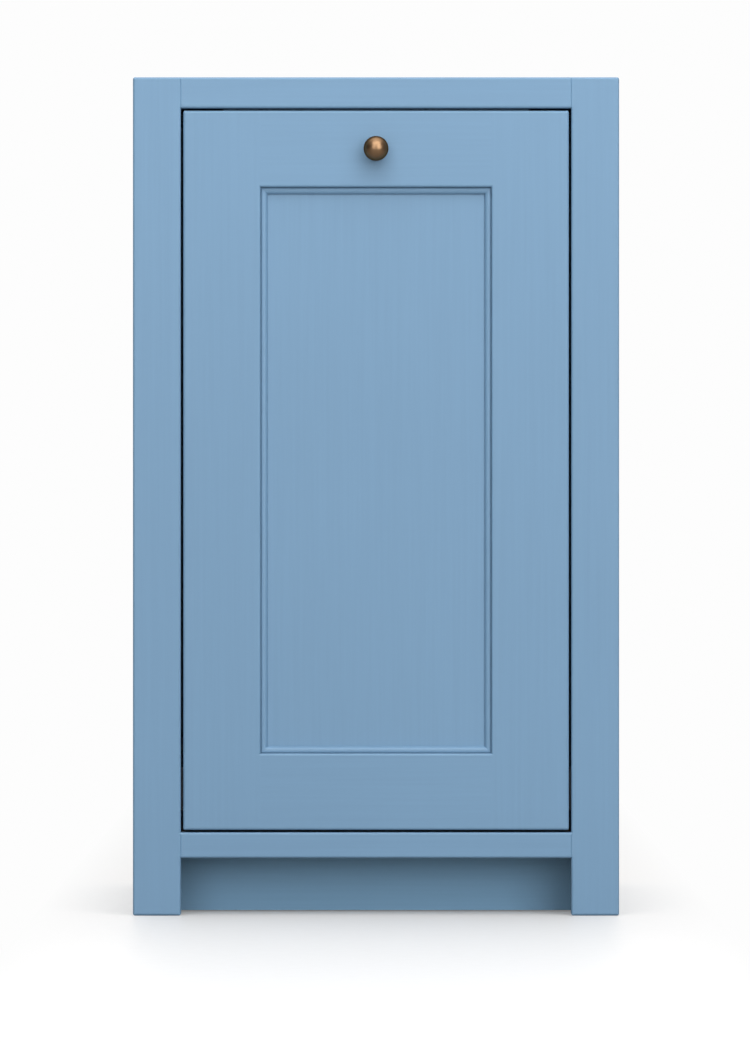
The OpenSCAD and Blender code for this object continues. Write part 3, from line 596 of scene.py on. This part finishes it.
@dataclass(frozen=True)
class MouldedPlastic(Finish):
    """Injection-moulded plastic with a fine matt grain."""

    name: str = "moulded_plastic"
    color: Color = (0.56, 0.575, 0.59)
    roughness: float = 0.42
    grain_pitch: float = 0.0009
    grain_rise: float = 0.00005
    specular: float = 0.5
    flow: Pattern = Pattern.even(9.0)
    flow_shade: float = 0.965
    glossier: float = 0.05
    duller: float = 0.08

    def build(self) -> bpy.types.Material:
        """The plastic as a material."""
        graph = Graph(self.name)
        grain = graph.noise(Pattern.even(1 / self.grain_pitch))
        flow = graph.spread(graph.noise(self.flow), 0.0, 1.0)
        color = graph.mix(flow, self.color, darker(self.color, self.flow_shade))
        roughness = graph.spread(grain, self.roughness - self.glossier, self.roughness + self.duller)
        graph.finish(Base_Color=color, Roughness=roughness, Specular_IOR_Level=self.specular,
                     Normal=graph.bump(grain, self.grain_rise))
        return graph.material


# Lighter than the other paint, to make up for light that the deep recess shuts out.
KICK_PAINT = SatinPaint(Axis.X, color=(0.212, 0.390, 0.575), specular=0.12)
RUBBER = MouldedPlastic("soft_rubber", (0.022, 0.022, 0.024), 0.70, 0.0012, 0.00006, 0.35)
ZINC = PlatedSteel()
# Near-black plating on the slide members: painted shade that keeps the front's side gaps dark.
SLIDE_GAP_SHADE = PlatedSteel("slide_gap_shade", (0.085, 0.086, 0.090), 0.34)
SPRING_STEEL = PlatedSteel("spring_steel", (0.46, 0.47, 0.49), 0.26, 0.015, 0.0006)
POLISHED_BALL = PlatedSteel("polished_ball", (0.74, 0.75, 0.77), 0.10, 0.020, 0.0010)


@dataclass(frozen=True)
class StudioFloor(Finish):
    """Pale studio floor that fades into the white backdrop beside the cabinet and far from it; this glow is
    painted light over the cabinet's shadow there.

    The camera sees it lighter than the share `thrown_back` of it that lights the cabinet from below.
    """

    color: Color = (0.712, 0.700, 0.689)
    thrown_back: float = 0.385
    roughness: float = 0.40
    duller: float = 0.06
    grain: Pattern = Pattern.even(60.0, 3.0)
    grain_shade: float = 0.99
    # Least glow over the whole floor: painted light that lifts its shade.
    shade_lift: float = 0.19
    side_start: float = 0.20
    side_end: float = 0.36
    fade_start: float = 1.0
    fade_end: float = 3.0
    backdrop: float = 1.0

    def fade(self, graph: Graph) -> Socket:
        """Share of the backdrop in the floor: a glow for the camera that is painted light, washing out the
        cabinet's shadow beside it and far off, and lifting every shade on the floor by a least share.

        Args:
            graph: The node tree that it is built in.

        Returns:
            The share.
        """
        far = graph.remap(graph.vector("LENGTH", graph.place), self.fade_start, self.fade_end)
        aside = graph.maths("ABSOLUTE", graph.split(graph.place, Axis.X))
        beside = graph.remap(aside, self.side_start, self.side_end)
        return graph.maths("MAXIMUM", graph.maths("MAXIMUM", far, beside), self.shade_lift)

    def build(self) -> bpy.types.Material:
        """The floor as a material."""
        graph = Graph("studio_floor")
        grain = graph.noise(self.grain)
        shown = graph.mix(graph.spread(grain, 0.0, 1.0), self.color, darker(self.color, self.grain_shade))
        seen = graph.add("ShaderNodeLightPath").outputs["Is Camera Ray"]
        color = graph.mix(seen, darker(self.color, self.thrown_back), shown)
        graph.finish(Base_Color=color,
                     Roughness=graph.spread(grain, self.roughness, self.roughness + self.duller))
        glow = graph.add("ShaderNodeEmission")
        graph.feed(glow.inputs["Strength"], self.backdrop)
        blend = graph.add("ShaderNodeMixShader")
        share = graph.maths("MULTIPLY", seen, self.fade(graph))
        for socket, value in zip(blend.inputs, (share, graph.shader.outputs[0], glow.outputs[0])):
            graph.feed(socket, value)
        graph.feed(graph.tree.nodes["Material Output"].inputs["Surface"], blend.outputs[0])
        return graph.material


def dress(finish: Finish, *nodes: str) -> None:
    """Gives every material slot of some CAD nodes a finish.

    Args:
        finish: The finish that they get.
        *nodes: The nodes' names.
    """
    for node in nodes:
        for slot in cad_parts[node].material_slots:
            slot.material = finish.material()
        LOG.info("dressed %s with %s", node, type(finish).__name__)


def add_piece(name: str, mesh: bmesh.types.BMesh, finish: Finish, body: str,
              sharp: float = SMOOTH_ANGLE) -> bpy.types.Object:
    """Makes a bmesh into a smooth-shaded piece that rides on a body.

    Args:
        name: The piece's name.
        mesh: Its surface, which is freed.
        finish: Its finish.
        body: The CAD body that carries it.
        sharp: Angle between faces above which their edge stays sharp.

    Returns:
        The new object.
    """
    bmesh.ops.recalc_face_normals(mesh, faces=mesh.faces)
    data = bpy.data.meshes.new(name)
    mesh.to_mesh(data)
    mesh.free()
    data.polygons.foreach_set("use_smooth", [True] * len(data.polygons))
    data.set_sharp_from_angle(angle=sharp)
    data.materials.append(finish.material())
    piece = bpy.data.objects.new(name, data)
    bpy.context.scene.collection.objects.link(piece)
    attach(piece, body)
    LOG.info("built %s: %d faces", name, len(data.polygons))
    return piece


def arc(centre: Point, radius: float, start: float, end: float, steps: int) -> Profile:
    """Points of a circular arc.

    Args:
        centre: Its centre in the profile's plane.
        radius: Its radius.
        start: Angle of its first point, in degrees.
        end: Angle of its last point.
        steps: Number of chords.

    Returns:
        The points, both ends included.
    """
    angles = [math.radians(start + (end - start) * step / steps) for step in range(steps + 1)]
    return [(centre[0] + radius * math.cos(a), centre[1] + radius * math.sin(a)) for a in angles]


@dataclass
class FaceFrame:
    """Painted frame round the front, with strokes along each of its members."""

    uprights: tuple[str, ...] = ("frame_stile_left", "frame_stile_right")
    rails: tuple[str, ...] = ("frame_top_rail", "frame_bottom_rail")

    def dress(self) -> None:
        """Paints the stiles upright and the rails across."""
        dress(SatinPaint(Axis.Z), *self.uprights)
        dress(SatinPaint(Axis.X), *self.rails)


@dataclass
class InsetFront(FaceFrame):
    """Painted pull-out front: stiles, rails, centre panel and the bead moulding round it."""

    uprights: tuple[str, ...] = ("front_stile_left", "front_stile_right", "front_panel",
                                 "bead_left", "bead_right")
    rails: tuple[str, ...] = ("front_top_rail", "front_bottom_rail", "bead_top", "bead_bottom")


@dataclass
class Carcass:
    """Sides, floor, back, stretchers and the hidden strips of the cabinet."""

    packers: tuple[str, ...] = ("slide_packer_left", "slide_packer_right")
    strips: tuple[str, ...] = ("anchor_rail", "toe_kick_blocks")

    def dress(self) -> None:
        """Gives each board its wood or paint."""
        for side in Side:
            board = f"side_panel_{side.value}"
            dress(PaintedPly(board), board)
        for board, grain, through in (
            ("cabinet_floor", Axis.X, Axis.Z),
            ("back_panel", Axis.Z, Axis.Y),
            ("stretcher_front", Axis.X, Axis.Z),
            ("stretcher_back", Axis.X, Axis.Z),
            ("dust_panel", Axis.Y, Axis.Z),
        ):
            dress(BirchPly(board, grain, through), board)
        dress(KICK_PAINT, "toe_kick")
        dress(SatinPaint(Axis.X), "door_stop")
        dress(Maple(Axis.X), *self.strips)
        dress(Maple(Axis.Y), *self.packers)
        dress(RUBBER, "bumper_pads")


@dataclass
class Tray:
    """Dovetailed maple tray with a plywood bottom and divider."""

    ends: tuple[str, ...] = ("tray_front", "tray_back")
    sides: tuple[str, ...] = ("tray_side_left", "tray_side_right")

    def dress(self) -> None:
        """Runs the grain along each board."""
        dress(Maple(Axis.X), *self.ends)
        dress(Maple(Axis.Y), *self.sides)
        dress(BirchPly("tray_bottom", Axis.Y, Axis.Z), "tray_bottom")
        dress(BirchPly("tray_divider", Axis.X, Axis.Y), "tray_divider")


@dataclass
class Slides:
    """Ball-bearing slides, the steel braces and all the screws."""

    members: tuple[str, ...] = (
        "slide_outer_left", "slide_outer_right", "slide_middle_left", "slide_middle_right",
        "slide_inner_left", "slide_inner_right",
    )
    plated: tuple[str, ...] = (
        "brace_left", "brace_right", "packer_screws", "slide_cabinet_screws",
        "slide_tray_screws", "tray_front_screws", "brace_screws", "knob_screw",
    )
    retainers: tuple[str, ...] = ("ball_retainers_outer", "ball_retainers_inner")
    balls: tuple[str, ...] = ("balls_outer", "balls_inner")

    def dress(self) -> None:
        """Gives each metal part its plating or polish; the slide members are near black as painted shade, so
        that the front's side gaps show dark.
        """
        dress(SLIDE_GAP_SHADE, *self.members)
        dress(ZINC, *self.plated)
        dress(SPRING_STEEL, *self.retainers)
        dress(POLISHED_BALL, *self.balls)
        dress(RUBBER, "slide_buffers")


@dataclass
class Knob:
    """Turned ball knob on a flared base, bored for its machine screw."""

    base_width: float = 0.017
    base_height: float = 0.0025
    base_edge: float = 0.0008
    neck_width: float = 0.010
    fillet: float = 0.0015
    bore_width: float = 0.0041
    bore_depth: float = 0.010
    edge_steps: int = 4
    cove_steps: int = 8
    fillet_steps: int = 6
    ball_steps: int = 44
    turns: int = 96

    def profile(self, reach: float, ball: float) -> Profile:
        """Half section from the bore's mouth round the outside to the bore's end.

        Args:
            reach: Distance of the ball's tip from the front.
            ball: Diameter of the ball.

        Returns:
            Radius and distance from the front of each point.
        """
        radius = ball / 2
        centre = reach - radius
        neck = self.neck_width / 2
        bore = self.bore_width / 2
        base = self.base_width / 2 - self.base_edge
        cove = (base - neck) / 2
        meet = math.degrees(math.acos((neck + self.fillet) / (radius + self.fillet)))
        lift = (radius + self.fillet) * math.sin(math.radians(meet))
        return (
            [(bore, 0.0), (self.base_width / 2, 0.0)]
            + arc((base, self.base_height - self.base_edge), self.base_edge, 0, 90, self.edge_steps)
            + arc((neck + cove, self.base_height + cove), cove, 270, 180, self.cove_steps)
            + arc((neck + self.fillet, centre - lift), self.fillet, 180, 180 - meet, self.fillet_steps)
            + arc((0.0, centre), radius, -meet, 90, self.ball_steps)[1:]
            + [(0.0, self.bore_depth), (bore, self.bore_depth)]
        )

    def build(self) -> None:
        """Turns the profile about the knob's axis and stands it for the CAD knob."""
        low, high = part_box("knob")
        centre = ((low[0] + high[0]) / 2, high[1], (low[2] + high[2]) / 2)
        outline = self.profile(high[1] - low[1], high[2] - low[2])
        mesh = bmesh.new()
        points = [mesh.verts.new((radius, 0.0, distance)) for radius, distance in outline]
        edges = [mesh.edges.new(pair) for pair in zip(points, points[1:] + points[:1])]
        bmesh.ops.spin(mesh, geom=points + edges, cent=(0, 0, 0), axis=(0, 0, 1), angle=math.tau,
                       steps=self.turns, use_merge=True)
        bmesh.ops.remove_doubles(mesh, verts=mesh.verts, dist=MERGE_DISTANCE)
        for vert in mesh.verts:
            x, y, z = vert.co
            vert.co = (centre[0] + x, centre[1] - z, centre[2] + y)
        piece = add_piece("knob_turned", mesh, AgedBronze(), "pullout")
        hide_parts("knob")


@dataclass
class Bin:
    """Tapered waste bin with a rolled rim, a wider collar and a raised base."""

    node: str
    wall: float = 0.0025
    taper: float = 0.016
    step: float = 0.002
    collar: float = 0.046
    corner: float = 0.042
    least_corner: float = 0.004
    base_edge: float = 0.008
    base_lap: float = 0.030
    rim_width: float = 0.009
    rim_height: float = 0.014
    rim_edge: float = 0.004
    rim_web: float = 0.0038
    lip: tuple[Point, ...] = ((-0.0022, 0.0), (-0.0007, -0.0005), (0.0, -0.0018))
    shoulder: tuple[Point, ...] = ((0.0002, -0.0006), (0.0, 0.0008))
    kick: float = 0.003
    kick_edge: Point = (0.0006, 0.0004)
    kick_slope: float = 0.001
    foot: float = 0.006
    soft: float = 0.0006
    edge_steps: int = 6
    rim_steps: int = 8
    turned_steps: int = 4
    corner_steps: int = 14
    smooth_angle: float = math.radians(60)

    def inset_at(self, height: float, tall: float) -> float:
        """Draw-in of the outer wall at a height, before the step."""
        return self.taper * (1 - height / tall)

    def outside(self, tall: float) -> Profile:
        """Rings of the raised base, the foot, the tapered wall and the collar.

        Args:
            tall: Height of the bin.

        Returns:
            The rings' insets and heights, from the base's middle upwards.
        """
        edge = self.base_edge
        foot_in = self.inset_at(0, tall) + self.step + edge
        base = foot_in + self.foot
        step_z = tall - self.rim_height - self.collar
        outer = self.inset_at(step_z, tall)
        return (
            [(base + self.base_lap, self.kick), (base, self.kick)]
            + [(base - self.kick_edge[0], self.kick - self.kick_edge[1]), (base - self.kick_slope, 0.0)]
            + [(foot_in - x, edge + y) for x, y in arc((0, 0), edge, -90, 0, self.edge_steps)]
            + [(outer + self.step, step_z - 2 * self.step)]
            + [(outer + x, step_z + y) for x, y in self.shoulder]
            + [(self.inset_at(tall - self.rim_height, tall), tall - self.rim_web)]
        )

    def rim(self, tall: float) -> Profile:
        """Rings of the rolled rim.

        Args:
            tall: Height of the bin.

        Returns:
            The rings' insets and heights, from the rim's hollow round its outside to the inner lip.
        """
        rim_z = tall - self.rim_height
        out = -self.rim_width
        turned = self.rim_edge - self.wall
        bend = (out + self.rim_edge, tall - self.rim_edge)
        hollow = arc((0, 0), turned, 90, 0, self.turned_steps)
        round_over = arc((0, 0), self.rim_edge, 0, 90, self.rim_steps)
        return (
            [(out + self.wall + turned, tall - self.wall)]
            + [(bend[0] - x, bend[1] + y) for x, y in hollow][1:]
            + [(out + self.wall, rim_z + self.soft), (out + self.wall - self.soft, rim_z)]
            + [(out + self.soft, rim_z), (out, rim_z + self.soft)]
            + [(bend[0] - x, bend[1] + y) for x, y in round_over]
            + [(self.wall + x, tall + y) for x, y in self.lip]
        )

    def inside(self, tall: float) -> Profile:
        """Rings of the inner wall and the floor.

        Args:
            tall: Height of the bin.

        Returns:
            The rings' insets and heights, from the collar down to the floor's middle.
        """
        step_z = tall - self.rim_height - self.collar
        outer = self.inset_at(step_z, tall)
        edge_in = self.base_edge - self.wall / 2
        floor = self.wall + self.kick
        low = self.wall + self.inset_at(floor + edge_in, tall) + self.step + edge_in
        bend = arc((0, 0), edge_in, 0, -90, self.edge_steps)
        return (
            [(self.wall + outer, step_z + self.shoulder[1][1])]
            + [(self.wall + outer + self.step, step_z - 2 * self.step)]
            + [(low - x, floor + edge_in + y) for x, y in bend]
            + [(low + self.base_lap, floor)]
        )

    def ring(self, half: Vector, inset: float) -> Profile:
        """Rounded rectangle of one ring, about the bin's middle.

        Args:
            half: Half of the bin's width and depth without the rim.
            inset: Draw-in of the ring.

        Returns:
            Its points in order.
        """
        radius = max(self.corner - inset, self.least_corner)
        points = []
        for quarter in range(4):
            across = 1 if quarter in (0, 3) else -1
            along = 1 if quarter in (0, 1) else -1
            centre = (across * (half.x - inset - radius), along * (half.y - inset - radius))
            points += arc(centre, radius, 90 * quarter, 90 * quarter + 90, self.corner_steps)
        return points

    def build(self, body: str) -> None:
        """Lofts a skin through the rings and stands it for the CAD bin.

        Args:
            body: The CAD body that carries the bin.
        """
        low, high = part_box(self.node)
        middle = (Vector(low) + Vector(high)) / 2
        half = Vector(((high[0] - low[0]) / 2 - self.rim_width, (high[1] - low[1]) / 2 - self.rim_width))
        tall = high[2] - low[2]
        mesh = bmesh.new()
        rings = [
            [mesh.verts.new((middle.x + x, middle.y + y, low[2] + height)) for x, y in self.ring(half, inset)]
            for inset, height in self.outside(tall) + self.rim(tall) + self.inside(tall)
        ]
        for lower, upper in zip(rings, rings[1:]):
            for i, here in enumerate(lower):
                j = (i + 1) % len(lower)
                mesh.faces.new((here, lower[j], upper[j], upper[i]))
        mesh.faces.new(rings[0])
        mesh.faces.new(rings[-1])
        piece = add_piece(f"{self.node}_moulded", mesh, MouldedPlastic(), body,
                          self.smooth_angle)
        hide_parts(self.node)


@dataclass(frozen=True)
class Softbox:
    """Diffused lamp that faces the cabinet: its bearing in degrees, radiance, size and distance."""

    turn: float
    rise: float
    radiance: float
    width: float
    height: float
    distance: float

    def build(self, name: str, aim: Vector) -> None:
        """Hangs the lamp and turns it to a point.

        Args:
            name: The lamp's name.
            aim: The point that it faces.
        """
        turn = math.radians(self.turn)
        rise = math.radians(self.rise)
        way = Vector((math.sin(turn) * math.cos(rise), -math.cos(turn) * math.cos(rise), math.sin(rise)))
        lamp = bpy.data.lights.new(name, "AREA")
        lamp.shape = "RECTANGLE"
        lamp.size = self.width
        lamp.size_y = self.height
        lamp.energy = self.radiance * math.pi * self.width * self.height
        stand = bpy.data.objects.new(name, lamp)
        stand.location = aim + way * self.distance
        stand.rotation_euler = way.to_track_quat("Z", "Y").to_euler()
        bpy.context.scene.collection.objects.link(stand)


@dataclass(frozen=True)
class Lobe:
    """Soft patch of surround light: its direction, its radiance there and how tightly it falls off."""

    toward: Triple
    radiance: float
    tightness: float


@dataclass
class Studio:
    """Two low softboxes in front, one high up, a weak surround and a pale floor under a white backdrop."""

    floor_radius: float = 40.0
    floor_segments: int = 96
    softboxes: tuple[Softbox, ...] = (
        Softbox(28.0, 16.0, 2.9, 2.1, 2.3, 3.5),
        Softbox(-19.0, 16.0, 2.1, 1.5, 2.3, 3.5),
        Softbox(6.0, 52.0, 2.95, 3.2, 1.7, 2.7),
    )
    aim: Vector = field(default_factory=lambda: Vector((0.0, -0.29, 0.55)))
    ambient: float = 0.02
    backdrop: float = 0.982
    lobes: tuple[Lobe, ...] = (
        Lobe((0.0, 0.0, 1.0), 1.8, 5.0),
        Lobe((0.45, -0.89, 0.0), 1.3, 10.0),
        Lobe((-0.25, -0.97, 0.0), 1.0, 10.0),
        Lobe((0.0, 1.0, 0.60), 1.2, 2.0),
    )

    def build_floor(self) -> None:
        """Lays a round floor."""
        mesh = bmesh.new()
        bmesh.ops.create_circle(mesh, cap_ends=True, segments=self.floor_segments, radius=self.floor_radius)
        data = bpy.data.meshes.new("studio_floor")
        mesh.to_mesh(data)
        mesh.free()
        data.materials.append(StudioFloor(backdrop=self.backdrop).material())
        floor = bpy.data.objects.new("studio_floor", data)
        bpy.context.scene.collection.objects.link(floor)

    def build_surround(self) -> None:
        """Adds up the lobes of light round the room, with a white backdrop for the camera."""
        world = bpy.data.worlds.new("studio_surround")
        world.use_nodes = True
        world.node_tree.nodes.clear()
        nodes = Nodes(world.node_tree)
        way = nodes.add("ShaderNodeTexCoord").outputs["Generated"]
        total = self.ambient
        for lobe in self.lobes:
            facing = nodes.vector("DOT_PRODUCT", way, Vector(lobe.toward).normalized())
            falloff = nodes.maths("POWER", nodes.maths("MAXIMUM", facing, 0.0), lobe.tightness)
            total = nodes.maths("MULTIPLY_ADD", falloff, lobe.radiance, total)
        lights = []
        for strength in (total, self.backdrop):
            light = nodes.add("ShaderNodeBackground")
            nodes.feed(light.inputs["Color"], WHITE)
            nodes.feed(light.inputs["Strength"], strength)
            lights.append(light.outputs[0])
        mix = nodes.add("ShaderNodeMixShader")
        seen = nodes.add("ShaderNodeLightPath").outputs["Is Camera Ray"]
        for socket, value in zip(mix.inputs, (seen, *lights)):
            nodes.feed(socket, value)
        nodes.feed(nodes.add("ShaderNodeOutputWorld").inputs["Surface"], mix.outputs[0])
        bpy.context.scene.world = world

    def build(self) -> None:
        """Builds floor, softboxes and surround."""
        self.build_floor()
        for number, softbox in enumerate(self.softboxes, 1):
            softbox.build(f"softbox_{number}", self.aim)
        self.build_surround()


@dataclass
class Photograph:
    """The camera where the photograph was taken from: level, square to the front and far away."""

    width_px: float = 750.0
    height_px: float = 1043.0
    pixel: float = 0.0010446
    centre_px: float = 376.03
    top_px: float = 77.1
    distance: float = 7.0
    sensor_mm: float = 36.0
    clip_end: float = 200.0
    level: float = math.radians(90)

    def build(self) -> None:
        """Places the camera so that the front face falls on the photograph's pixels."""
        low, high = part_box("frame_top_rail")
        data = bpy.data.cameras.new("photograph")
        data.sensor_fit = "AUTO"
        data.sensor_width = self.sensor_mm
        data.lens = self.sensor_mm * self.distance / (self.height_px * self.pixel)
        data.clip_end = self.clip_end
        camera = bpy.data.objects.new("photograph", data)
        camera.location = (
            (self.width_px / 2 - self.centre_px) * self.pixel,
            low[1] - self.distance,
            high[2] - (self.height_px / 2 - self.top_px) * self.pixel,
        )
        camera.rotation_euler = (self.level, 0.0, 0.0)
        bpy.context.scene.collection.objects.link(camera)
        bpy.context.scene.camera = camera


def main() -> None:
    """Builds the camera, the studio and each sub-assembly in turn."""
    logging.basicConfig(level=logging.INFO, format="%(name)s: %(message)s")
    Photograph().build()
    Studio().build()
    for assembly in (FaceFrame(), InsetFront(), Carcass(), Tray(), Slides()):
        assembly.dress()
    Knob().build()
    for name in ("bin_front", "bin_rear"):
        Bin(name).build(name)
    bpy.context.scene.view_settings.view_transform = "Standard"


if __name__ == "__main__":
    main()
